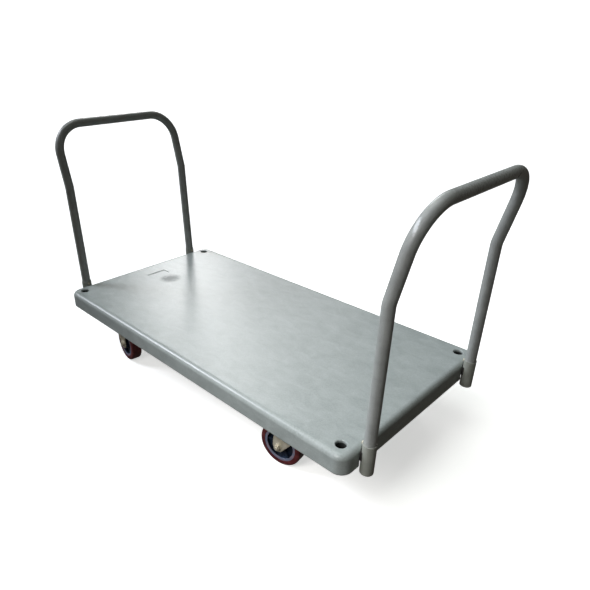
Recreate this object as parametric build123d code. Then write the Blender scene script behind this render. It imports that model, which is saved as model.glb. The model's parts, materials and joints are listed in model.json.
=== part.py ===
from build123d import *
from math import atan2, cos, degrees, hypot, pi, radians, sin, sqrt
import os

# Flatbed platform truck with a push handle at each end, in millimetres.
# X runs along the deck, Y across it, Z up. The origin is on the floor, midway
# between the wheels. "front" is the -Y side, "left" is the -X end.

# Deck: a moulded polymer tray, open underneath
deck_length = 1500
deck_width = 750
deck_depth = 68
deck_skin = 8
deck_wall = 9
deck_plan_radius = 39
deck_top_round = 18
deck_bottom_round = 7
stake_hole_radius = 16
stake_hole_inset = 46.5
stake_boss_wall = 6
stake_chamfer = 2
rib_thickness = 5
rib_depth = 24
rib_pitch = 92
label_length = 45
label_width = 92
label_from_end = 98
label_corner = 3
label_sink = 2

# Steel frame under the deck
rail_width = 36
rail_height = 30
rail_wall = 2.5
rail_clearance = 0.5
rail_seat_margin = 3
rail_seat = 5
cross_member_width = 30
caster_pad_length = 150
caster_pad_width = 126
caster_pad_thickness = 6
frame_clearance = 2

# Push handles and their sockets
tube_diameter = 35
tube_wall = 2.5
handle_from_side = 88.3
handle_overhang = 17.2
handle_lean = 2.5
kink_height = 435
kink_reach = 50.6
handle_height = 681
kink_radius = 90
corner_radius = 116
plug_lip = 3
plug_depth = 14
plug_edge = 1
socket_wall = 2.2
socket_play = 0.3
socket_above_deck = 14
socket_below_deck = 17
socket_stop_thickness = 4
socket_stop_recess = 2
socket_groove_gap = 2.5
socket_block = 16
socket_rim_round = 0.6

# Casters, all four alike
caster_from_end = 256.5
caster_from_side = 95.4
caster_trail = 45
caster_toe = 8.5
wheel_diameter = 150
wheel_width = 42
wheel_headroom = 23
tread_thickness = 17
tread_round = 7
core_step = 2
rim_thickness = 5
rim_web = 10
hub_radius = 22
spoke_count = 6
spoke_width = 9
spoke_step = 6
spoke_start = 11
bearing_radius = 16
bearing_width = 10
axle_play = 0.05
side_gap = 0.3
spacer_wall = 3
fork_gap = 4.5
fork_plate = 4
fork_foot_radius = 21
fork_edge_round = 2.5
fork_back_slant = 0.35
fork_heel_lean = 1
fork_front = 39
fork_back = 40
fork_shoulder = 28
plate_length = 135
plate_width = 108
plate_thickness = 5
plate_corner = 10
plate_bolt_x = 104
plate_bolt_y = 80
race_drop = 5
race_outer = 38
race_pitch = 30
race_gap = 8
race_play = 0.2
ball_radius = 3.8
ball_count = 18
crown_thickness = 4
crown_radius = 45
crown_lip = 2.5
crown_lip_height = 12
kingpin_head_radius = 11
kingpin_play = 0.1

# Fasteners, by thread size. The two hex values are shares of the width across flats.
caster_bolt = 10
deck_screw = 8
axle_thread = 12
kingpin_thread = 12
set_screw = 6
set_screw_drop = 9
washer_thickness = 2
hex_turned_radius = 0.56
hex_corner_cut = 0.05
bolt_tail = 3
deck_screw_bite = 10
deck_screw_from_middle = 180
deck_screw_from_end = 130

ends = {"left": -1, "right": 1}
sides = {"front": -1, "rear": 1}


def across_flats(thread):
    return 1.5 * thread + 1


def nut_height(thread):
    return 0.85 * thread


def head_height(thread):
    return 0.65 * thread


# Heights, from the floor up through a caster to the deck
wheel_radius = wheel_diameter / 2
crown_bottom = wheel_diameter + wheel_headroom
crown_top = crown_bottom + crown_thickness
race_bottom = crown_top + race_gap
plate_bottom = race_bottom + race_drop
caster_height = plate_bottom + plate_thickness
pad_top = caster_height + caster_pad_thickness
rail_top = pad_top + rail_height
deck_ceiling = rail_top + rail_seat
deck_top = deck_ceiling + deck_skin
deck_bottom = deck_top - deck_depth
bolt_top = pad_top + nut_height(caster_bolt) + bolt_tail

# Places and radii that fit one part to another
rail_y = deck_width / 2 - handle_from_side
caster_x = deck_length / 2 - caster_from_end
caster_y = deck_width / 2 - caster_from_side
handle_x = deck_length / 2 + handle_overhang
stake_x = deck_length / 2 - stake_hole_inset
stake_y = deck_width / 2 - stake_hole_inset
block_x = deck_length / 2 - deck_wall - socket_block
inner_length = deck_length - 2 * deck_wall
inner_width = deck_width - 2 * deck_wall
tube_radius = tube_diameter / 2
socket_bore = tube_radius + socket_play
socket_radius = socket_bore + socket_wall
groove_radius = socket_radius + socket_groove_gap
core_radius = wheel_radius - tread_thickness
core_width = wheel_width - 2 * core_step
axle_radius = axle_thread / 2
kingpin_radius = kingpin_thread / 2
fork_inner = wheel_width / 2 + fork_gap
fork_outer = fork_inner + fork_plate


def cylinder_z(radius, z0, z1, x=0, y=0):
    return Pos(x, y, (z0 + z1) / 2) * Cylinder(radius, z1 - z0)


def box_between(x0, x1, y0, y1, z0, z1):
    return Pos((x0 + x1) / 2, (y0 + y1) / 2, (z0 + z1) / 2) * Box(x1 - x0, y1 - y0, z1 - z0)


def ring_z(outer, inner, z0, z1):
    return cylinder_z(outer, z0, z1) - cylinder_z(inner, z0 - 1, z1 + 1)


def circular_edges(shape):
    return shape.edges().filter_by(GeomType.CIRCLE).sort_by(Axis.Z)


def hexagon(thread, height):
    """A nut or bolt head standing on the XY plane, with its corners turned off."""
    flats = across_flats(thread)
    blank = cylinder_z(hex_turned_radius * flats, 0, height)
    turned = chamfer(circular_edges(blank), hex_corner_cut * flats)
    return extrude(RegularPolygon(flats / 2, 6, major_radius=False), height) & turned


def to_corner(shape, end, side):
    """Mirrors a part drawn for the right rear corner to any corner."""
    if end < 0:
        shape = mirror(shape, Plane.YZ)
    if side < 0:
        shape = mirror(shape, Plane.XZ)
    return shape


def along_leg(z):
    """Distance along a leaning leg, from deck level, of a height over the floor."""
    return (z - deck_top) / cos(radians(handle_lean))


def seat_on_leg(shape, end, side):
    """Places a part drawn about the Z axis on a leg. Its -X side faces the deck."""
    shape = Pos(handle_x, 0, deck_top) * Rot(0, handle_lean, 0) * Pos(0, rail_y, 0) * shape
    return to_corner(shape, end, side)


socket_low = along_leg(deck_bottom - socket_below_deck)
socket_high = along_leg(deck_top + socket_above_deck)
stop_low = socket_low + socket_stop_recess
stop_high = stop_low + socket_stop_thickness
leg_foot = stop_high + side_gap


def corners():
    for end_name, end in ends.items():
        for side_name, side in sides.items():
            yield end_name + "_" + side_name, end, side


def bolt_places(end, side):
    for dx in [-plate_bolt_x / 2, plate_bolt_x / 2]:
        for dy in [-plate_bolt_y / 2, plate_bolt_y / 2]:
            yield end * caster_x + dx, side * caster_y + dy


def deck_screw_places():
    for x in [deck_screw_from_middle, deck_length / 2 - deck_screw_from_end]:
        for end in ends.values():
            for side in sides.values():
                yield end * x, side * rail_y


def make_deck():
    blank = extrude(RectangleRounded(deck_length, deck_width, deck_plan_radius), deck_depth)
    blank = Pos(0, 0, deck_bottom) * blank
    blank = fillet(blank.faces().sort_by(Axis.Z)[-1].edges(), deck_top_round)
    blank = fillet(blank.faces().sort_by(Axis.Z)[0].edges(), deck_bottom_round)
    hollow = RectangleRounded(inner_length, inner_width, deck_plan_radius - deck_wall)
    hollow = Pos(0, 0, deck_bottom - 1) * extrude(hollow, deck_ceiling - deck_bottom + 1)
    deck = blank - hollow
    for part in ribs():
        deck = deck + part
    for part in deck_bosses():
        deck = deck + (part & blank)
    for cut in frame_room():
        deck = deck - cut
    for seat in rail_seats():
        deck = deck + seat
    for cut in deck_cuts():
        deck = deck - cut
    return deck


def ribs():
    """A grid of stiffening ribs under the skin."""
    low = deck_ceiling - rib_depth
    half = rib_thickness / 2
    reach_x = inner_length / 2 + deck_wall / 2
    reach_y = inner_width / 2 + deck_wall / 2
    count_x = int((inner_length / 2 - rib_pitch / 3) / rib_pitch)
    count_y = int((inner_width / 2 - rib_pitch / 3) / rib_pitch)
    for index in range(-count_x, count_x + 1):
        x = index * rib_pitch
        yield box_between(x - half, x + half, -reach_y, reach_y, low, deck_ceiling)
    for index in range(-count_y, count_y + 1):
        y = index * rib_pitch
        yield box_between(-reach_x, reach_x, y - half, y + half, low, deck_ceiling)


def deck_bosses():
    """A boss round each stake hole, and a thick block behind each socket groove."""
    boss_radius = stake_hole_radius + stake_boss_wall
    block_y = groove_radius + deck_wall
    block = box_between(
        block_x, deck_length / 2 - deck_wall / 2, rail_y - block_y, rail_y + block_y, deck_bottom, deck_ceiling
    )
    for _, end, side in corners():
        yield cylinder_z(boss_radius, deck_bottom, deck_ceiling, end * stake_x, side * stake_y)
        yield to_corner(block, end, side)


def frame_room():
    """Clear space for the steel frame, open below so that the deck drops on to it."""
    low = deck_bottom - 1
    half = rail_width / 2 + rail_clearance
    for side in sides.values():
        y = side * rail_y
        yield box_between(-deck_length, deck_length, y - half, y + half, low, rail_top)
    half = cross_member_width / 2 + frame_clearance
    for x in [-caster_x, 0, caster_x]:
        yield box_between(x - half, x + half, -rail_y, rail_y, low, rail_top)
    reach_x = caster_pad_length / 2 + frame_clearance
    reach_y = caster_pad_width / 2 + frame_clearance
    for _, end, side in corners():
        x, y = end * caster_x, side * caster_y
        room = box_between(
            x - reach_x, x + reach_x, y - reach_y, y + reach_y, low, bolt_top + frame_clearance
        )
        yield room


def rail_seats():
    half = rail_width / 2 + rail_seat_margin
    for side in sides.values():
        y = side * rail_y
        yield box_between(-inner_length / 2, inner_length / 2, y - half, y + half, rail_top, deck_ceiling)


def deck_cuts():
    for _, end, side in corners():
        x, y = end * stake_x, side * stake_y
        yield cylinder_z(stake_hole_radius, deck_bottom - 1, deck_top + 1, x, y)
        mouth = Cone(stake_hole_radius, stake_hole_radius + stake_chamfer, stake_chamfer)
        yield Pos(x, y, deck_top - stake_chamfer / 2) * mouth
        groove = cylinder_z(groove_radius, 2 * socket_low, deck_depth)
        yield seat_on_leg(groove, end, side)
    for x, y in deck_screw_places():
        yield cylinder_z(deck_screw / 2, deck_bottom, rail_top + deck_screw_bite, x, y)
    label_x = -deck_length / 2 + label_from_end + label_length / 2
    label = extrude(RectangleRounded(label_length, label_width, label_corner), label_sink + 1)
    yield Pos(label_x, 0, deck_top - label_sink) * label


def make_rail(side):
    """A box tube along the deck, coped at each end to the socket it is welded to."""
    half = rail_width / 2
    inner = half - rail_wall
    rail = box_between(-handle_x, handle_x, -half, half, pad_top, rail_top)
    rail = rail - box_between(
        -handle_x - 1, handle_x + 1, -inner, inner, pad_top + rail_wall, rail_top - rail_wall
    )
    rail = Pos(0, side * rail_y, 0) * rail
    for end in ends.values():
        rail = rail - seat_on_leg(cylinder_z(socket_radius, 2 * socket_low, deck_depth), end, side)
    for x, y in deck_screw_places():
        rail = rail - cylinder_z(deck_screw / 2, pad_top - 1, rail_top + 1, x, y)
    return rail


def make_cross_member(x):
    half = cross_member_width / 2
    inner = half - rail_wall
    reach = rail_y - rail_width / 2
    outside = box_between(x - half, x + half, -reach, reach, pad_top, rail_top)
    inside = box_between(
        x - inner, x + inner, -reach - 1, reach + 1, pad_top + rail_wall, rail_top - rail_wall
    )
    return outside - inside


def make_caster_pad(end, side):
    pad = extrude(RectangleRounded(caster_pad_length, caster_pad_width, plate_corner), caster_pad_thickness)
    pad = Pos(end * caster_x, side * caster_y, caster_height) * pad
    for x, y in bolt_places(end, side):
        pad = pad - cylinder_z(caster_bolt / 2, caster_height - 1, pad_top + 1, x, y)
    return pad


def make_socket(end, side):
    sleeve = cylinder_z(socket_radius, socket_low, socket_high)
    sleeve = fillet(circular_edges(sleeve), socket_rim_round)
    sleeve = sleeve - cylinder_z(socket_bore, socket_low - 1, socket_high + 1)
    drilling = Rot(0, -90, 0) * cylinder_z(set_screw / 2, 0, 2 * socket_radius)
    sleeve = sleeve - Pos(0, 0, socket_high - set_screw_drop) * drilling
    return seat_on_leg(sleeve, end, side)


def make_socket_stop(end, side):
    """A disc welded in the socket, for the leg to stand on."""
    return seat_on_leg(cylinder_z(socket_bore, stop_low, stop_high), end, side)


def make_set_screw(end, side):
    """A hexagon screw through the socket collar that pinches the leg."""
    screw = cylinder_z(set_screw / 2, socket_bore, socket_radius)
    screw = screw + Pos(0, 0, socket_radius) * hexagon(set_screw, head_height(set_screw))
    screw = Pos(0, 0, socket_high - set_screw_drop) * Rot(0, -90, 0) * screw
    return seat_on_leg(screw, end, side)


def make_handle(end):
    """One bent tube: up from a foot, out at the kink, across, and down to the other foot."""
    foot = leg_foot + plug_lip
    path = FilletPolyline(
        (0, -rail_y, foot),
        (0, -rail_y, kink_height),
        (kink_reach, -rail_y, handle_height),
        (kink_reach, rail_y, handle_height),
        (0, rail_y, kink_height),
        (0, rail_y, foot),
        radius=[kink_radius, corner_radius, corner_radius, kink_radius],
    )
    start = Plane(origin=path @ 0, z_dir=path % 0)
    tube = sweep(start * (Circle(tube_radius) - Circle(tube_radius - tube_wall)), path=path)
    tube = Pos(handle_x, 0, deck_top) * Rot(0, handle_lean, 0) * tube
    return to_corner(tube, end, 1)


def make_handle_plug(end, side):
    """A closed cap pressed into the foot of one leg."""
    lip_top = leg_foot + plug_lip
    lip = cylinder_z(tube_radius - plug_edge / 2, leg_foot, lip_top)
    lip = chamfer(circular_edges(lip)[0], plug_edge)
    stem = cylinder_z(tube_radius - tube_wall, lip_top, lip_top + plug_depth)
    return seat_on_leg(lip + stem, end, side)


def make_caster_bolt(x, y):
    head = head_height(caster_bolt)
    cap = Pos(x, y, plate_bottom - head) * hexagon(caster_bolt, head)
    return cap + cylinder_z(caster_bolt / 2, plate_bottom, bolt_top, x, y)


def make_caster_nut(x, y):
    nut = Pos(x, y, pad_top) * hexagon(caster_bolt, nut_height(caster_bolt))
    return nut - cylinder_z(caster_bolt / 2, pad_top - 1, bolt_top, x, y)


def make_deck_screw(x, y):
    head = head_height(deck_screw)
    cap = Pos(x, y, pad_top - head) * hexagon(deck_screw, head)
    return cap + cylinder_z(deck_screw / 2, pad_top, rail_top + deck_screw_bite - 1, x, y)


def race_groove(level):
    return Pos(0, 0, level) * Torus(race_pitch, ball_radius + race_play)


def kingpin_blank(play):
    """A flush-headed pin, from the top of the plate to just below its nut."""
    low = crown_bottom - side_gap - washer_thickness - nut_height(kingpin_thread) - bolt_tail
    pin = cylinder_z(kingpin_radius + play, low, caster_height)
    drop = kingpin_head_radius - kingpin_radius
    head = Cone(kingpin_radius + play, kingpin_head_radius + play, drop)
    return pin + Pos(0, 0, caster_height - drop / 2) * head


def make_top_plate():
    plate = extrude(RectangleRounded(plate_length, plate_width, plate_corner), plate_thickness)
    plate = Pos(0, 0, plate_bottom) * plate + cylinder_z(race_outer, race_bottom, plate_bottom)
    for dx in [-plate_bolt_x / 2, plate_bolt_x / 2]:
        for dy in [-plate_bolt_y / 2, plate_bolt_y / 2]:
            plate = plate - cylinder_z(caster_bolt / 2, race_bottom, caster_height + 1, dx, dy)
    plate = plate - kingpin_blank(0)
    return plate - race_groove(race_bottom)


def make_kingpin_nut():
    """A nut and its washer, just clear of the crown that turns above them."""
    washer_top = crown_bottom - side_gap
    nut_top = washer_top - washer_thickness
    nut = Pos(0, 0, nut_top - nut_height(kingpin_thread)) * hexagon(kingpin_thread, nut_height(kingpin_thread))
    nut = nut + cylinder_z(2 * kingpin_radius, nut_top, washer_top)
    return nut - cylinder_z(kingpin_radius, 0, caster_height)


def make_balls():
    middle = (race_bottom + crown_top) / 2
    for index in range(ball_count):
        turn = 2 * pi * index / ball_count
        yield Pos(race_pitch * cos(turn), race_pitch * sin(turn), middle) * Sphere(ball_radius)


def fork_outline():
    """Side view of a fork leg, in X and Z: a round foot that sweeps up to the crown."""
    foot_x, foot_z = -caster_trail, wheel_radius
    radius = fork_foot_radius

    def on_foot(angle):
        return foot_x + radius * cos(radians(angle)), foot_z + radius * sin(radians(angle))

    shoulder = (fork_front, crown_bottom - fork_shoulder)
    rise, run = shoulder[1] - foot_z, shoulder[0] - foot_x
    reach = hypot(rise, run)
    slope = degrees(atan2(rise, run) - atan2(radius, sqrt(reach**2 - radius**2)))
    heel = on_foot(180)
    toe = on_foot(slope - 90)
    round_foot = ThreePointArc(heel, on_foot((slope + 90) / 2 - 180), toe)
    front = Polyline(toe, shoulder, (fork_front, crown_top), (-fork_back, crown_top))
    above_heel = (heel[0] + fork_heel_lean, heel[1] + radius)
    slant = [(-fork_back_slant, -1), (0, -1)]
    back = Spline((-fork_back, crown_top), above_heel, heel, tangents=slant)
    return make_face([round_foot, front, back])


def make_fork():
    """Pressed fork: two legs, a crown and a lip round the ball race.
    The wheel trails towards -X of the kingpin."""
    crown = box_between(-fork_back, fork_front, -fork_inner, fork_inner, crown_bottom, crown_top)
    fork = crown + cylinder_z(crown_radius, crown_bottom, crown_top)
    fork = fork + ring_z(crown_radius, crown_radius - crown_lip, crown_top, crown_top + crown_lip_height)
    leg = Pos(0, fork_inner, 0) * extrude(Plane.XZ * fork_outline(), -fork_plate)
    leg = fillet(leg.faces().sort_by(Axis.Y)[-1].edges(), fork_edge_round)
    fork = fork + leg + mirror(leg, Plane.XZ)
    fork = fork - on_axle(cylinder_z(axle_radius, -2 * fork_outer, 2 * fork_outer))
    fork = fork - cylinder_z(kingpin_radius + kingpin_play, 0, caster_height)
    return fork - race_groove(crown_top)


def on_axle(shape):
    """Turns a part drawn about the Z axis on to the axle, with +Z towards -Y."""
    return Pos(-caster_trail, 0, wheel_radius) * Rot(90, 0, 0) * shape


def make_axle_bolt():
    head = head_height(axle_thread)
    bolt = cylinder_z(axle_radius, -fork_outer, fork_outer + nut_height(axle_thread) + bolt_tail)
    bolt = chamfer(circular_edges(bolt)[-1], 1)
    return on_axle(bolt + Pos(0, 0, -fork_outer - head) * hexagon(axle_thread, head))


def make_axle_nut():
    nut = hexagon(axle_thread, nut_height(axle_thread)) - cylinder_z(axle_radius, -1, axle_thread)
    return on_axle(Pos(0, 0, fork_outer) * nut)


def make_spacers():
    """A sleeve between the bearings and a collar at each side of the wheel."""
    outer = axle_radius + spacer_wall
    sleeve = wheel_width / 2 - bearing_width - side_gap
    collar = wheel_width / 2 + side_gap
    for low, high in [(-fork_inner, -collar), (-sleeve, sleeve), (collar, fork_inner)]:
        yield on_axle(ring_z(outer, axle_radius, low, high))


def make_core():
    rim_inner = core_radius - rim_thickness
    half = core_width / 2
    core = ring_z(core_radius, rim_inner, -half, half)
    core = core + cylinder_z(hub_radius, -wheel_width / 2, wheel_width / 2)
    core = core + cylinder_z(rim_inner, -rim_web / 2, rim_web / 2)
    reach = half - spoke_step
    spoke = box_between(spoke_start, rim_inner + 1, -spoke_width / 2, spoke_width / 2, -reach, reach)
    for index in range(spoke_count):
        core = core + Rot(0, 0, 360 * index / spoke_count) * spoke
    core = core - cylinder_z(axle_radius + spacer_wall + 2, -wheel_width, wheel_width)
    seat = wheel_width / 2 - bearing_width
    core = core - cylinder_z(bearing_radius, seat, wheel_width)
    core = core - cylinder_z(bearing_radius, -wheel_width, -seat)
    return on_axle(core)


def make_tread():
    tyre = fillet(circular_edges(cylinder_z(wheel_radius, -wheel_width / 2, wheel_width / 2)), tread_round)
    return on_axle(tyre - cylinder_z(core_radius, -wheel_width, wheel_width))


def make_bearings():
    for low in [-wheel_width / 2, wheel_width / 2 - bearing_width]:
        yield on_axle(ring_z(bearing_radius, axle_radius + axle_play, low, low + bearing_width))


def place_plate(end, side):
    return Pos(end * caster_x, side * caster_y, 0)


def place_caster(end, side):
    """Turns a caster so that its wheel trails inwards, toed out by the resting angle."""
    turn = -end * side * caster_toe
    if end < 0:
        turn = turn + 180
    return place_plate(end, side) * Rot(0, 0, turn)


def save(name, *solids):
    shape = solids[0] if len(solids) == 1 else Compound(solids)
    export_step(shape, "parts/" + name + ".step")


def save_frame():
    save("deck", make_deck())
    for side_name, side in sides.items():
        save("rail_" + side_name, make_rail(side))
    for name, x in [("left", -caster_x), ("centre", 0), ("right", caster_x)]:
        save("cross_member_" + name, make_cross_member(x))
    for name, end, side in corners():
        save("socket_" + name, make_socket(end, side))
        save("caster_pad_" + name, make_caster_pad(end, side))
    save("socket_stops", *[make_socket_stop(end, side) for _, end, side in corners()])
    save("set_screws", *[make_set_screw(end, side) for _, end, side in corners()])
    save("deck_screws", *[make_deck_screw(x, y) for x, y in deck_screw_places()])
    places = [place for _, end, side in corners() for place in bolt_places(end, side)]
    save("caster_bolts", *[make_caster_bolt(x, y) for x, y in places])
    save("caster_nuts", *[make_caster_nut(x, y) for x, y in places])


def save_handles():
    for name, end in ends.items():
        save("handle_" + name, make_handle(end))
        save("handle_plugs_" + name, *[make_handle_plug(end, side) for side in sides.values()])


def save_casters():
    plate = make_top_plate()
    pin = kingpin_blank(0)
    pin_nut = make_kingpin_nut()
    balls = list(make_balls())
    turning = {
        "fork": [make_fork()],
        "axle_bolt": [make_axle_bolt()],
        "axle_nut": [make_axle_nut()],
        "axle_spacers": list(make_spacers()),
        "wheel_core": [make_core()],
        "wheel_tread": [make_tread()],
        "wheel_bearings": list(make_bearings()),
    }
    for name, end, side in corners():
        save("top_plate_" + name, place_plate(end, side) * plate)
        for part, solids in turning.items():
            save(part + "_" + name, *[place_caster(end, side) * solid for solid in solids])
    plates = [place_plate(end, side) for _, end, side in corners()]
    save("kingpins", *[place * pin for place in plates])
    save("kingpin_nuts", *[place * pin_nut for place in plates])
    save("race_balls", *[place * ball for place in plates for ball in balls])


os.makedirs("parts", exist_ok=True)
save_frame()
save_handles()
save_casters()
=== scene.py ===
# Looks for a flatbed platform truck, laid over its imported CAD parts. Metres, Z up.
import bmesh
import bpy
import json
import math
import random
from mathutils import Matrix, Vector

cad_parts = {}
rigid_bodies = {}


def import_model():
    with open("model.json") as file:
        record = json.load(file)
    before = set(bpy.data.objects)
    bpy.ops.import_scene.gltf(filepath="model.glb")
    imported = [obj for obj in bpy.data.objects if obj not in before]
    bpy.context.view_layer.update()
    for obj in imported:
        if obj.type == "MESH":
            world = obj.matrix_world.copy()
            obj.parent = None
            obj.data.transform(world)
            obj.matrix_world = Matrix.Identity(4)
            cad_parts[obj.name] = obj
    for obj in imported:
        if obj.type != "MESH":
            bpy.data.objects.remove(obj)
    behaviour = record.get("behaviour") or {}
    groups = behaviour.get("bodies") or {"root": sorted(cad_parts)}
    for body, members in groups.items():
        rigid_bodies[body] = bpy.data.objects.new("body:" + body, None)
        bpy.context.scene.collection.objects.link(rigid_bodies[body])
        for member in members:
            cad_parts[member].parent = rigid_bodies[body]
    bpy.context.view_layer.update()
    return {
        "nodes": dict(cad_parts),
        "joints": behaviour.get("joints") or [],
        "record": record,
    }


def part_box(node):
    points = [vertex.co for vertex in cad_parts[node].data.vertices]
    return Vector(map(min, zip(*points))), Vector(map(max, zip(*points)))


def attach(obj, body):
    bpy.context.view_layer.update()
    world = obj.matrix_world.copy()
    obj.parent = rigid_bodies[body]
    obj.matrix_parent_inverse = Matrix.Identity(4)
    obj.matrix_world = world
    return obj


for thing in list(bpy.data.objects):
    bpy.data.objects.remove(thing)
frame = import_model()
corners = ["left_front", "left_rear", "right_front", "right_rear"]
joints = {joint["name"]: joint for joint in frame["joints"]}
mm = 0.001
print("frame loaded:", len(frame["nodes"]), "CAD nodes")


# camera, at the height of someone standing off the right front corner
camera = {
    "place": (1.3899, -1.2779, 1.2443),
    "right": (0.71361, 0.70053, -0.00383),
    "down": (0.28549, -0.29580, -0.91159),
    "forward": (-0.63973, 0.64943, -0.41108),
    "lens": 33.163,
    "shift": (0.0344, -0.0206),
}
cameraData = bpy.data.cameras.new("camera")
cameraData.lens = camera["lens"]
cameraData.sensor_width = 36
cameraData.shift_x, cameraData.shift_y = camera["shift"]
cameraObject = bpy.data.objects.new("camera", cameraData)
bpy.context.scene.collection.objects.link(cameraObject)
axes = [Vector(camera["right"]), -Vector(camera["down"]), -Vector(camera["forward"])]
cameraObject.matrix_world = Matrix.Translation(camera["place"]) @ Matrix(axes).transposed().to_4x4()
bpy.context.scene.camera = cameraObject
print("camera placed")


# small helpers

def hexColour(code):  # sRGB hex to the linear colour that nodes use
    channels = [int(code[i:i + 2], 16) / 255 for i in (0, 2, 4)]
    return [c / 12.92 if c <= 0.04045 else ((c + 0.055) / 1.055) ** 2.4 for c in channels] + [1]


def addNode(tree, kind, sockets=None, stops=None, **settings):
    made = tree.nodes.new("ShaderNode" + kind)
    for name, value in settings.items():
        setattr(made, name, value)
    for socket, value in (sockets or {}).items():
        if isinstance(value, bpy.types.NodeSocket):
            tree.links.new(value, made.inputs[socket])
        else:
            made.inputs[socket].default_value = value
    if stops:  # a colour ramp, from (place, hex) pairs in rising order
        ramp = made.color_ramp
        ramp.elements[0].position = stops[0][0]
        ramp.elements[-1].position = stops[-1][0]
        for place, code in stops[1:-1]:
            ramp.elements.new(place)
        for element, (place, code) in zip(ramp.elements, stops):
            element.color = hexColour(code)
    return made


surface = {
    "patchRange": (0.35, 0.65),  # noise values between which the roughness runs from low to high
    "grainRange": (0.35, 0.65),
    "streakRange": (0.66, 0.74),  # only the crests of the streak noise show
    "rubbedRange": (0.5, 0.68),
    "streaks": [(0.5, 0), (-0.9, 3.7)],  # angle in radians, and an offset so that the two differ
    "scuffRough": 0.25,
    "scuffHeight": -0.5,
}


def makeFinish(name, look):
    # one surface: patchy tone, fine grain, a spread of roughness, and scuffs that break the gloss
    finish = bpy.data.materials.new(name)
    finish.use_nodes = True
    tree = finish.node_tree
    tree.nodes.clear()
    place = addNode(tree, "TexCoord").outputs["Object"]
    laid = addNode(tree, "Mapping", {
        "Vector": place, "Scale": look.get("stretch", (1, 1, 1)),
    }, vector_type="TEXTURE").outputs[0]
    patches = addNode(tree, "TexNoise", {
        "Vector": laid,
        "Scale": 1 / (look["patch"] * mm),
        "Detail": look.get("patchDetail", 4),
        "Roughness": 0.55,
        "Distortion": look.get("swirl", 0),
    }).outputs["Fac"]
    tone = addNode(tree, "ValToRGB", {"Fac": patches}, stops=look["tones"]).outputs["Color"]
    grain = addNode(tree, "TexNoise", {
        "Vector": laid,
        "Scale": 1 / (look["grain"] * mm),
        "Detail": 2,
        "Roughness": 0.6,
    }).outputs["Fac"]
    low, high = surface["grainRange"]
    amount = look.get("speck", 0.04)
    speck = addNode(tree, "MapRange", {
        "Value": grain, "From Min": low, "From Max": high, "To Min": 1 - amount, "To Max": 1 + amount,
    }).outputs[0]
    tone = addNode(tree, "VectorMath", {0: tone, "Scale": speck}, operation="SCALE").outputs[0]
    # scuffs: long thin streaks, two ways across the surface
    long, wide = look.get("scuffLength", 60) * mm, look.get("scuffWidth", 1.5) * mm
    low, high = surface["streakRange"]
    streaks = []
    for angle, offset in surface["streaks"]:
        lie = addNode(tree, "Mapping", {
            "Vector": place, "Location": (offset, offset, offset), "Rotation": (angle, angle / 2, angle),
            "Scale": (long, wide, wide),
        }, vector_type="TEXTURE").outputs[0]
        line = addNode(tree, "TexNoise", {"Vector": lie, "Scale": 1, "Detail": 1}).outputs["Fac"]
        streak = addNode(tree, "MapRange", {"Value": line, "From Min": low, "From Max": high}).outputs[0]
        streaks.append(streak)
    scuff = addNode(tree, "Math", {0: streaks[0], 1: streaks[1]}, operation="MAXIMUM").outputs[0]
    low, high = surface["rubbedRange"]
    rubbed = addNode(tree, "MapRange", {
        "Value": patches, "From Min": low, "From Max": high, "To Max": look.get("scuffs", 0.3),
    }).outputs[0]
    scuff = addNode(tree, "Math", {0: scuff, 1: rubbed}, operation="MULTIPLY").outputs[0]
    tone = addNode(tree, "Mix", {
        0: scuff, 6: tone, 7: hexColour(look.get("scuffTone", look["tones"][-1][1])),
    }, data_type="RGBA").outputs[2]
    low, high = surface["patchRange"]
    smooth, coarse = look["roughness"]
    rough = addNode(tree, "MapRange", {
        "Value": patches, "From Min": low, "From Max": high, "To Min": smooth, "To Max": coarse,
    }).outputs[0]
    rough = addNode(tree, "Math", {
        0: scuff, 1: surface["scuffRough"], 2: rough,
    }, operation="MULTIPLY_ADD").outputs[0]
    height = addNode(tree, "Math", {
        0: scuff, 1: surface["scuffHeight"], 2: grain,
    }, operation="MULTIPLY_ADD").outputs[0]
    bump = addNode(tree, "Bump", {
        "Height": height, "Distance": look["grainDepth"] * mm, "Strength": 1,
    }).outputs[0]
    shader = addNode(tree, "BsdfPrincipled", {
        "Base Color": tone, "Roughness": rough, "Normal": bump, "Metallic": look.get("metallic", 0),
    })
    addNode(tree, "OutputMaterial", {"Surface": shader.outputs[0]})
    return finish, tree, shader, place


def markSpot(tree, place, centre, size, lean=0):
    # 1 at the middle of an oval spot, 0 at its edge; lean tips it about X
    lie = addNode(tree, "Mapping", {
        "Vector": place, "Location": centre, "Rotation": (lean, 0, 0), "Scale": size,
    }, vector_type="TEXTURE").outputs[0]
    return addNode(tree, "TexGradient", {"Vector": lie}, gradient_type="SPHERICAL").outputs["Fac"]


def overlay(tree, shader, mask, tone, rough=None):
    # lays a tone, and perhaps a roughness, over what the shader already has
    under = shader.inputs["Base Color"].links[0].from_socket
    mixed = addNode(tree, "Mix", {0: mask, 6: under, 7: hexColour(tone)}, data_type="RGBA").outputs[2]
    tree.links.new(mixed, shader.inputs["Base Color"])
    if rough is not None:
        under = shader.inputs["Roughness"].links[0].from_socket
        mixed = addNode(tree, "Mix", {0: mask, 2: under, 3: rough}, data_type="FLOAT").outputs[0]
        tree.links.new(mixed, shader.inputs["Roughness"])


bandBreak = {"scale": 160, "from": 0.38, "to": 0.6}  # noise of about 6 mm, and the part of it that shows


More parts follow.
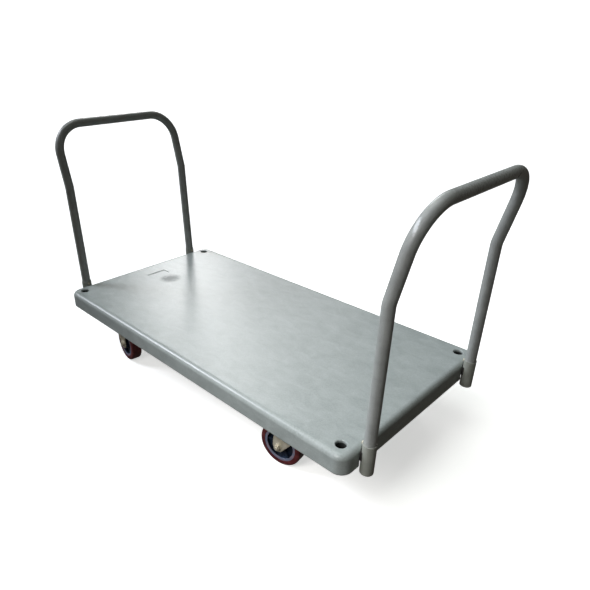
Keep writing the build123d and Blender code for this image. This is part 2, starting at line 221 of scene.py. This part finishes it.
def heightBand(tree, place, low, high, soft):
    # 1 between two heights, fading over a soft edge, broken up by a little noise
    height = addNode(tree, "SeparateXYZ", {0: place}).outputs["Z"]
    rise = addNode(tree, "MapRange", {"Value": height, "From Min": low - soft, "From Max": low}).outputs[0]
    fall = addNode(tree, "MapRange", {"Value": height, "From Min": high + soft, "From Max": high}).outputs[0]
    band = addNode(tree, "Math", {0: rise, 1: fall}, operation="MULTIPLY").outputs[0]
    noise = addNode(tree, "TexNoise", {
        "Vector": place, "Scale": bandBreak["scale"], "Detail": 4,
    }).outputs["Fac"]
    broken = addNode(tree, "MapRange", {
        "Value": noise, "From Min": bandBreak["from"], "From Max": bandBreak["to"],
    }).outputs[0]
    return addNode(tree, "Math", {0: band, 1: broken}, operation="MULTIPLY").outputs[0]


def dress(nodeName, finish):
    for slot in frame["nodes"][nodeName].material_slots:
        slot.material = finish


def addPiece(name, bm, finish, body):
    mesh = bpy.data.meshes.new(name)
    bm.to_mesh(mesh)
    bm.free()
    for face in mesh.polygons:
        face.use_smooth = True
    mesh.materials.append(finish)
    piece = bpy.data.objects.new(name, mesh)
    bpy.context.scene.collection.objects.link(piece)
    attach(piece, body)
    return piece


sharpEdge = 0.5  # radians between faces, past which an edge is softened


def turnedRing(ring, reach, side, centre, axis):
    # spins a square section into a ring on one face of a wheel or fork, which lies at reach along the axis
    low, high = side * (reach - ring["sink"]), side * (reach + ring["rise"])
    section = [(ring["inner"], low), (ring["outer"], low), (ring["outer"], high), (ring["inner"], high)]
    bm = bmesh.new()
    out = axis.orthogonal().normalized()
    points = [bm.verts.new(centre + out * radius + axis * along) for radius, along in section]
    sides = [bm.edges.new(pair) for pair in zip(points, points[1:] + points[:1])]
    bmesh.ops.spin(
        bm, geom=points + sides, cent=centre, axis=axis, angle=math.tau, steps=72, use_merge=True,
    )
    bmesh.ops.remove_doubles(bm, verts=bm.verts, dist=1e-6)
    bmesh.ops.recalc_face_normals(bm, faces=bm.faces)
    sharp = [edge for edge in bm.edges if edge.is_manifold and edge.calc_face_angle() > sharpEdge]
    bmesh.ops.bevel(
        bm, geom=sharp, offset=ring["soften"], offset_type="OFFSET", affect="EDGES",
        segments=2, profile=0.5, material=-1,
    )
    return bm


def reachAlong(nodeName, point, axis):
    # how far the part of a node below a point goes out from it, along an axis
    lower = [vertex.co - point for vertex in frame["nodes"][nodeName].data.vertices if vertex.co.z < point.z]
    return max(abs(offset.dot(axis)) for offset in lower)


def wheelOf(corner):
    joint = joints["wheel_spin_" + corner]
    return Vector(joint["pos_m"]), Vector(joint["axis"]).normalized()


# deck: structural-foam polyethylene, moulded; a satin skin with faint flow swirls and a sand-like grain.
# The real grain is under 1 mm, too fine to show, so it is drawn about 3 mm wide.
deckLook = {
    "tones": [(0.3, "929B9A"), (0.5, "9BA4A3"), (0.7, "A3ACAB")],
    "patch": 38, "patchDetail": 8, "swirl": 0.6, "stretch": (1.6, 1, 1),
    "grain": 3.2, "grainDepth": 0.08, "speck": 0.07,
    "scuffs": 0.2, "scuffLength": 90, "scuffWidth": 1.6, "scuffTone": "B9BFBD",
    "roughness": (0.28, 0.31),
}
deckMarks = {
    "stainFromEnd": 0.205, "stainOff": 0.008, "stainSize": (0.06, 0.065, 0.05),
    "stain": "5C6462", "stainRough": 0.5, "stainNoise": 55, "stainRange": (0.08, 0.34), "stainMost": 0.6,
    "rim": "A3ACAB", "rimRough": 0.33, "rimDepth": 0.015, "rimTop": 0.0006, "rimSoft": 0.0005,
    # near-black dirt and painted shade for the insides of the four stake holes
    "grimeAndPaintedShade": "232625", "grimeAndPaintedShadeRough": 0.7, "grimeAndPaintedShadeReach": 0.03, "grimeAndPaintedShadeRange": (0.02, 0.16),
}
deckFinish, tree, shader, place = makeFinish("moulded polyethylene foam", deckLook)
deckLow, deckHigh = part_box("deck")
deckTop = deckHigh.z
stainCentre = (deckLow.x + deckMarks["stainFromEnd"], deckMarks["stainOff"], deckTop)
stain = markSpot(tree, place, stainCentre, deckMarks["stainSize"])
smear = addNode(tree, "TexNoise", {
    "Vector": place, "Scale": deckMarks["stainNoise"], "Detail": 5,
}).outputs["Fac"]
stain = addNode(tree, "Math", {0: stain, 1: smear}, operation="MULTIPLY").outputs[0]
low, high = deckMarks["stainRange"]
stain = addNode(tree, "MapRange", {
    "Value": stain, "From Min": low, "From Max": high, "To Max": deckMarks["stainMost"],
}).outputs[0]
overlay(tree, shader, stain, deckMarks["stain"], deckMarks["stainRough"])
# the rounded rim is rubbed smooth by loads that slide over it
rimLow, rimHigh = deckTop - deckMarks["rimDepth"], deckTop - deckMarks["rimTop"]
rim = heightBand(tree, place, rimLow, rimHigh, deckMarks["rimSoft"])
overlay(tree, shader, rim, deckMarks["rim"], deckMarks["rimRough"])
# grime and painted shade in the four stake holes: a near-black tone from a few millimetres down darkens the
# hole walls as their shade would; one mark serves all four, on mirrored places
holes = [mount for mount in frame["record"]["mounts"] if mount["name"].startswith("stake_hole")]
holeX, holeY = [max(abs(hole["pos_m"][i]) for hole in holes) for i in (0, 1)]
reach = deckMarks["grimeAndPaintedShadeReach"]
mirrored = addNode(tree, "VectorMath", {0: place}, operation="ABSOLUTE").outputs[0]
grimeAndPaintedShade = markSpot(tree, mirrored, (holeX, holeY, deckTop - reach), (reach, reach, reach))
low, high = deckMarks["grimeAndPaintedShadeRange"]
grimeAndPaintedShade = addNode(tree, "MapRange", {"Value": grimeAndPaintedShade, "From Min": low, "From Max": high}).outputs[0]
overlay(tree, shader, grimeAndPaintedShade, deckMarks["grimeAndPaintedShade"], deckMarks["grimeAndPaintedShadeRough"])
dress("deck", deckFinish)
print("deck dressed")


# handles: steel tube in polyester powder coat; a fine orange peel, rubbed at the foot and along the grip
handleLook = {
    "tones": [(0.3, "8F9493"), (0.5, "999E9D"), (0.7, "A1A6A5")],
    "patch": 45, "grain": 2.2, "grainDepth": 0.05, "speck": 0.04,
    "scuffs": 0.5, "scuffLength": 40, "scuffWidth": 1.0, "scuffTone": "B2B3B0",
    "roughness": (0.28, 0.40),
}
handleWear = {
    "rub": "A4A8A6", "rubRough": 0.24,
    "foot": (-0.002, 0.006), "footSoft": 0.004,  # from the top of the socket
    "grip": 0.012, "gripSoft": 0.02,  # down from the top of the bar
    "scrapeIn": (0.0324, 0.0217, 0.0596),  # from the handle's outer end, front side and top
    "scrapeSize": (0.008, 0.02, 0.034), "scrapeLean": -33,
    "scrape": "D3D9DC", "scrapeRough": 0.45, "scrapeNoise": 190, "scrapeRange": (0.12, 0.3),
    "scrapeMost": 0.8,
}
handleFinish, tree, shader, place = makeFinish("powder coated steel tube", handleLook)
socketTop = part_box("socket_left_front")[1].z
low, high = [socketTop + height for height in handleWear["foot"]]
rubbed = heightBand(tree, place, low, high, handleWear["footSoft"])
overlay(tree, shader, rubbed, handleWear["rub"], handleWear["rubRough"])
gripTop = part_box("handle_left")[1].z
rubbed = heightBand(tree, place, gripTop - handleWear["grip"], gripTop, handleWear["gripSoft"])
overlay(tree, shader, rubbed, handleWear["rub"], handleWear["rubRough"])
# one pale scrape on the right handle, where its front leg bends over
lean = math.radians(handleWear["scrapeLean"])
handleLow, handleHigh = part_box("handle_right")
inX, inY, inZ = handleWear["scrapeIn"]
scrapeCentre = (handleHigh.x - inX, handleLow.y + inY, handleHigh.z - inZ)
scrape = markSpot(tree, place, scrapeCentre, handleWear["scrapeSize"], lean)
flake = addNode(tree, "TexNoise", {
    "Vector": place, "Scale": handleWear["scrapeNoise"], "Detail": 3,
}).outputs["Fac"]
scrape = addNode(tree, "Math", {0: scrape, 1: flake}, operation="MULTIPLY").outputs[0]
low, high = handleWear["scrapeRange"]
scrape = addNode(tree, "MapRange", {
    "Value": scrape, "From Min": low, "From Max": high, "To Max": handleWear["scrapeMost"],
}).outputs[0]
overlay(tree, shader, scrape, handleWear["scrape"], handleWear["scrapeRough"])
dress("handle_left", handleFinish)
dress("handle_right", handleFinish)

# sockets: the same powder coat, a batch that came out a little greener
socketLook = dict(handleLook, tones=[(0.3, "8D928B"), (0.5, "979C95"), (0.7, "9FA49D")])
socketRim = {"depth": 0.0015, "soft": 0.001, "tone": "969A95", "rough": 0.4}
socketFinish, tree, shader, place = makeFinish("powder coated steel socket", socketLook)
rim = heightBand(tree, place, socketTop - socketRim["depth"], socketTop, socketRim["soft"])
overlay(tree, shader, rim, socketRim["tone"], socketRim["rough"])
for corner in corners:
    dress("socket_" + corner, socketFinish)
dress("socket_stops", socketFinish)
print("handles and sockets dressed")

# underframe: welded box tube in black-grey stoving paint, dusty and a little chipped
frameLook = {
    "tones": [(0.3, "2C2D2D"), (0.5, "353636"), (0.7, "403F3D")],
    "patch": 60, "grain": 1.6, "grainDepth": 0.04, "speck": 0.08,
    "scuffs": 0.7, "scuffLength": 30, "scuffWidth": 1.4, "scuffTone": "6B655C",
    "roughness": (0.4, 0.6),
}
frameFinish = makeFinish("stove painted box tube", frameLook)[0]
for name in ["rail_front", "rail_rear", "cross_member_left", "cross_member_centre", "cross_member_right"]:
    dress(name, frameFinish)
for corner in corners:
    dress("caster_pad_" + corner, frameFinish)

# zinc: bright plating with a yellow passivate on pressed steel; cloudy, with duller patches
zincLook = {
    "tones": [(0.3, "BCB7A3"), (0.5, "CFCAB8"), (0.7, "DCD8C9")],
    "patch": 14, "grain": 0.9, "grainDepth": 0.02, "speck": 0.05,
    "scuffs": 0.6, "scuffLength": 18, "scuffWidth": 0.7, "scuffTone": "8C8475",
    "roughness": (0.34, 0.52), "metallic": 0.4,
}
zincFinish = makeFinish("zinc plated pressed steel", zincLook)[0]
for corner in corners:
    for part in ["top_plate_", "fork_", "axle_bolt_", "axle_nut_"]:
        dress(part + corner, zincFinish)
for name in ["set_screws", "caster_bolts", "caster_nuts", "deck_screws", "kingpins", "kingpin_nuts"]:
    dress(name, zincFinish)

# bearings, balls and spacers: ground and hardened steel with a film of grease
bearingLook = {
    "tones": [(0.3, "8A8A88"), (0.5, "9D9D9B"), (0.7, "B0B0AE")],
    "patch": 8, "grain": 0.6, "grainDepth": 0.005, "speck": 0.04,
    "scuffs": 0.3, "scuffLength": 10, "scuffWidth": 0.5, "scuffTone": "5A564E",
    "roughness": (0.18, 0.34), "metallic": 1,
}
bearingFinish = makeFinish("ground bearing steel", bearingLook)[0]
dress("race_balls", bearingFinish)
for corner in corners:
    dress("axle_spacers_" + corner, bearingFinish)
    dress("wheel_bearings_" + corner, bearingFinish)

# plugs in the feet of the handles: moulded polyethylene, matt
plugLook = {
    "tones": [(0.3, "16171A"), (0.5, "1C1D20"), (0.7, "232427")],
    "patch": 12, "grain": 0.8, "grainDepth": 0.02,
    "roughness": (0.45, 0.6),
}
plugFinish = makeFinish("moulded polyethylene plug", plugLook)[0]
dress("handle_plugs_left", plugFinish)
dress("handle_plugs_right", plugFinish)
print("metal and plug finishes done")


# wheels: a navy moulded nylon core with a slight sheen, a cast polyurethane tyre in maroon, picked up
# by grit, and a pale band laid on each face of the core just inside the tyre. The tyre's pits are under
# 1 mm, and are drawn over 2 mm wide so that they show.
coreLook = {
    "tones": [(0.3, "10151F"), (0.5, "192334"), (0.7, "2B3B50")],
    "patch": 16, "grain": 0.8, "grainDepth": 0.02, "speck": 0.05,
    "scuffs": 0.4, "scuffLength": 12, "scuffWidth": 0.8, "scuffTone": "4A5266",
    "roughness": (0.28, 0.42),
}
treadLook = {
    "tones": [(0.3, "46191E"), (0.5, "582428"), (0.7, "6E3638")],
    "patch": 14, "grain": 2.4, "grainDepth": 0.08, "speck": 0.14,
    "scuffs": 0.7, "scuffLength": 14, "scuffWidth": 1.2, "scuffTone": "7B5350",
    "roughness": (0.3, 0.48),
}
bandLook = {
    "tones": [(0.34, "5D6F86"), (0.5, "7B7C90"), (0.66, "977F8C")],
    "patch": 22, "grain": 0.9, "grainDepth": 0.02, "speck": 0.04,
    "scuffs": 0.4, "scuffLength": 9, "scuffWidth": 0.8, "scuffTone": "6E6F7B",
    "roughness": (0.35, 0.5),
}
coreFinish = makeFinish("moulded nylon core", coreLook)[0]
treadFinish = makeFinish("cast polyurethane tyre", treadLook)[0]
bandFinish = makeFinish("moulded nylon band", bandLook)[0]
rimBand = {"width": 0.009, "groove": 0.002, "sink": 0.001, "rise": 0.0011, "soften": 0.0004}
hubSeal = {"inner": 0.0095, "outer": 0.0154, "sink": 0.002, "rise": 0.00025, "soften": 0.0001}
washer = {"inner": 0.0062, "outer": 0.0125, "sink": 0.0005, "rise": 0.0012, "soften": 0.0003}
for corner in corners:
    core, tread = "wheel_core_" + corner, "wheel_tread_" + corner
    dress(core, coreFinish)
    dress(tread, treadFinish)
    centre, axis = wheelOf(corner)
    coreRadius = (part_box(core)[1].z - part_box(core)[0].z) / 2
    band = dict(rimBand, inner=coreRadius - rimBand["width"], outer=coreRadius)
    bandReach = reachAlong(tread, centre, axis) - rimBand["groove"]
    hubReach = reachAlong(core, centre, axis)
    forkReach = reachAlong("fork_" + corner, centre, axis)
    faces = [(1, "a_"), (-1, "b_")]
    for side, label in faces:
        bm = turnedRing(band, bandReach, side, centre, axis)
        addPiece("rim_band_" + label + corner, bm, bandFinish, "wheel_" + corner)
        bm = turnedRing(hubSeal, hubReach, side, centre, axis)
        addPiece("hub_seal_" + label + corner, bm, plugFinish, "wheel_" + corner)
    # a washer under the head and the nut of each axle bolt
    for side, label in faces:
        bm = turnedRing(washer, forkReach, side, centre, axis)
        addPiece("axle_washer_" + label + corner, bm, zincFinish, "swivel_" + corner)
print("wheels done")


# weld beads where the underframe is joined: MIG bead, rippled, painted over
weld = {
    "radius": 0.0028, "small": 0.0017, "pitch": 0.0024, "ripple": 0.14, "jitter": 0.05,
    "ends": 0.6,  # a bead starts and stops at this share of its radius
    "margin": 0.002, "sink": 0.0005,
}
random.seed(4)


def layBead(bm, start, end, radius):
    # a ring pushed along in small steps, swelling and shrinking as a welder's bead does
    run = end - start
    count = max(4, round(run.length / weld["pitch"]))
    facing = run.to_track_quat("Z", "Y").to_matrix().to_4x4()
    made = bmesh.ops.create_circle(
        bm, cap_ends=True, segments=8, radius=radius * weld["ends"],
        matrix=Matrix.Translation(start) @ facing,
    )
    verts = made["verts"]
    size = weld["ends"]
    for index in range(count):
        rim = [edge for edge in bm.edges if edge.verts[0] in verts and edge.verts[1] in verts]
        made = bmesh.ops.extrude_edge_only(bm, edges=rim)["geom"]
        verts = [item for item in made if isinstance(item, bmesh.types.BMVert)]
        bmesh.ops.translate(bm, verts=verts, vec=run / count)
        wanted = weld["ends"]
        if index < count - 1:
            jitter = random.uniform(-weld["jitter"], weld["jitter"])
            wanted = 1 - weld["ripple"] * (index % 2) + jitter
        centre = start + run * (index + 1) / count
        bmesh.ops.scale(bm, verts=verts, vec=[wanted / size] * 3, space=Matrix.Translation(-centre))
        size = wanted
    rim = [edge for edge in bm.edges if edge.verts[0] in verts and edge.verts[1] in verts]
    bmesh.ops.contextual_create(bm, geom=rim)


bm = bmesh.new()
for corner in corners:
    padLow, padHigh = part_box("caster_pad_" + corner)
    railLow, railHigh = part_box("rail_" + corner.split("_")[1])
    memberLow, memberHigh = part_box("cross_member_" + corner.split("_")[0])
    seam = railLow.z - weld["sink"]
    for x in [padLow.x, padHigh.x]:
        start = Vector((x, railLow.y + weld["margin"], seam))
        layBead(bm, start, Vector((x, railHigh.y - weld["margin"], seam)), weld["radius"])
    y = padHigh.y if padHigh.y < 0 else padLow.y
    start = Vector((memberLow.x + weld["margin"], y, seam))
    layBead(bm, start, Vector((memberHigh.x - weld["margin"], y, seam)), weld["radius"])
for side in ["front", "rear"]:
    memberLow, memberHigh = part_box("cross_member_centre")
    y = memberLow.y if side == "front" else memberHigh.y
    for x in [memberLow.x, memberHigh.x]:
        start = Vector((x, y, memberLow.z + weld["margin"]))
        layBead(bm, start, Vector((x, y, memberHigh.z - weld["margin"])), weld["small"])
    start = Vector((memberLow.x + weld["margin"], y, memberLow.z))
    layBead(bm, start, Vector((memberHigh.x - weld["margin"], y, memberLow.z)), weld["small"])
bmesh.ops.recalc_face_normals(bm, faces=bm.faces)
addPiece("weld_beads", bm, frameFinish, "frame")
print("welds laid")


# studio: a pale floor inside a round cove, a window at the far left and a low fill from the front
stageLook = {
    "radius": 14, "inset": 0.01, "wall": 40, "steps": 96,
    "floor": "F2F3F2", "floorGlow": 0.65, "wallTone": "F6F7F6", "wallGlow": 1.15,
}


def stageFinish(name, tone, glow):
    finish = bpy.data.materials.new(name)
    finish.use_nodes = True
    tree = finish.node_tree
    tree.nodes.clear()
    shader = addNode(tree, "BsdfPrincipled", {
        "Base Color": hexColour(tone), "Roughness": 0.9,
        "Emission Color": hexColour(tone), "Emission Strength": glow,
    })
    addNode(tree, "OutputMaterial", {"Surface": shader.outputs[0]})
    return finish


def addStage(name, bm, finish):
    mesh = bpy.data.meshes.new(name)
    bm.to_mesh(mesh)
    bm.free()
    for face in mesh.polygons:
        face.use_smooth = True
    mesh.materials.append(finish)
    stage = bpy.data.objects.new(name, mesh)
    bpy.context.scene.collection.objects.link(stage)
    stage.visible_diffuse = False  # its bounce would flatten the shaded end of the truck
    stage.visible_glossy = False
    return stage


bm = bmesh.new()
bmesh.ops.create_circle(bm, cap_ends=True, segments=stageLook["steps"], radius=stageLook["radius"])
addStage("floor", bm, stageFinish("pale floor", stageLook["floor"], stageLook["floorGlow"]))
bm = bmesh.new()
wallAt = stageLook["radius"] - stageLook["inset"]
foot = bm.verts.new((wallAt, 0, 0))
top = bm.verts.new((wallAt, 0, stageLook["wall"]))
rise = bm.edges.new((foot, top))
bmesh.ops.spin(
    bm, geom=[foot, top, rise], cent=(0, 0, 0), axis=(0, 0, 1),
    angle=math.tau, steps=stageLook["steps"], use_merge=True,
)
bmesh.ops.recalc_face_normals(bm, faces=bm.faces)
wall = addStage("cove", bm, stageFinish("pale cove", stageLook["wallTone"], stageLook["wallGlow"]))
wall.visible_shadow = False

lamps = {
    "window, lower pane": {"from": (-0.750, 0.524, 0.404), "strength": 0.27, "angle": 10, "tone": "FFFFFF"},
    "window, upper pane": {"from": (-0.633, 0.504, 0.588), "strength": 0.2, "angle": 10, "tone": "FFFFFF"},
    "window, curtain": {"from": (-0.602, 0.646, 0.470), "strength": 0.19, "angle": 18, "tone": "FFFFFF"},
    "left softbox": {"from": (-0.70, -0.40, 0.60), "strength": 2.0, "angle": 18, "tone": "F4F6FF"},
    "overhead": {"from": (-0.3, 0.0, 1.0), "strength": 0.8, "angle": 40, "tone": "F8FFFC"},
}
for name, lamp in lamps.items():
    light = bpy.data.lights.new(name, "SUN")
    light.energy = lamp["strength"]
    light.angle = math.radians(lamp["angle"])
    light.color = hexColour(lamp["tone"])[:3]
    lightObject = bpy.data.objects.new(name, light)
    lightObject.rotation_mode = "QUATERNION"
    lightObject.rotation_quaternion = (-Vector(lamp["from"])).to_track_quat("-Z", "Y")
    bpy.context.scene.collection.objects.link(lightObject)

# a smaller softbox in front, low, for the near side and the feet of the right handle
frontBox = {
    "place": (0.55, -1.75, 1.4), "aim": (0.60, -0.3, 0.15),
    "size": 1.0, "spread": 75, "power": 5.0, "tone": "FBF8F6",
}
light = bpy.data.lights.new("front softbox", "AREA")
light.energy = frontBox["power"]
light.size = frontBox["size"]
light.spread = math.radians(frontBox["spread"])
light.color = hexColour(frontBox["tone"])[:3]
lightObject = bpy.data.objects.new("front softbox", light)
lightObject.location = frontBox["place"]
lightObject.rotation_mode = "QUATERNION"
aim = Vector(frontBox["aim"]) - Vector(frontBox["place"])
lightObject.rotation_quaternion = aim.to_track_quat("-Z", "Y")
lightObject.visible_camera = False
bpy.context.scene.collection.objects.link(lightObject)

roomLook = {"tone": "DDD5C8", "strength": 0.09}
world = bpy.data.worlds.new("dim room")
world.use_nodes = True
world.node_tree.nodes.clear()
room = addNode(world.node_tree, "Background", {
    "Color": hexColour(roomLook["tone"]), "Strength": roomLook["strength"],
})
addNode(world.node_tree, "OutputWorld", {"Surface": room.outputs[0]})
bpy.context.scene.world = world
bpy.context.scene.view_settings.view_transform = "Standard"
print("studio lit")
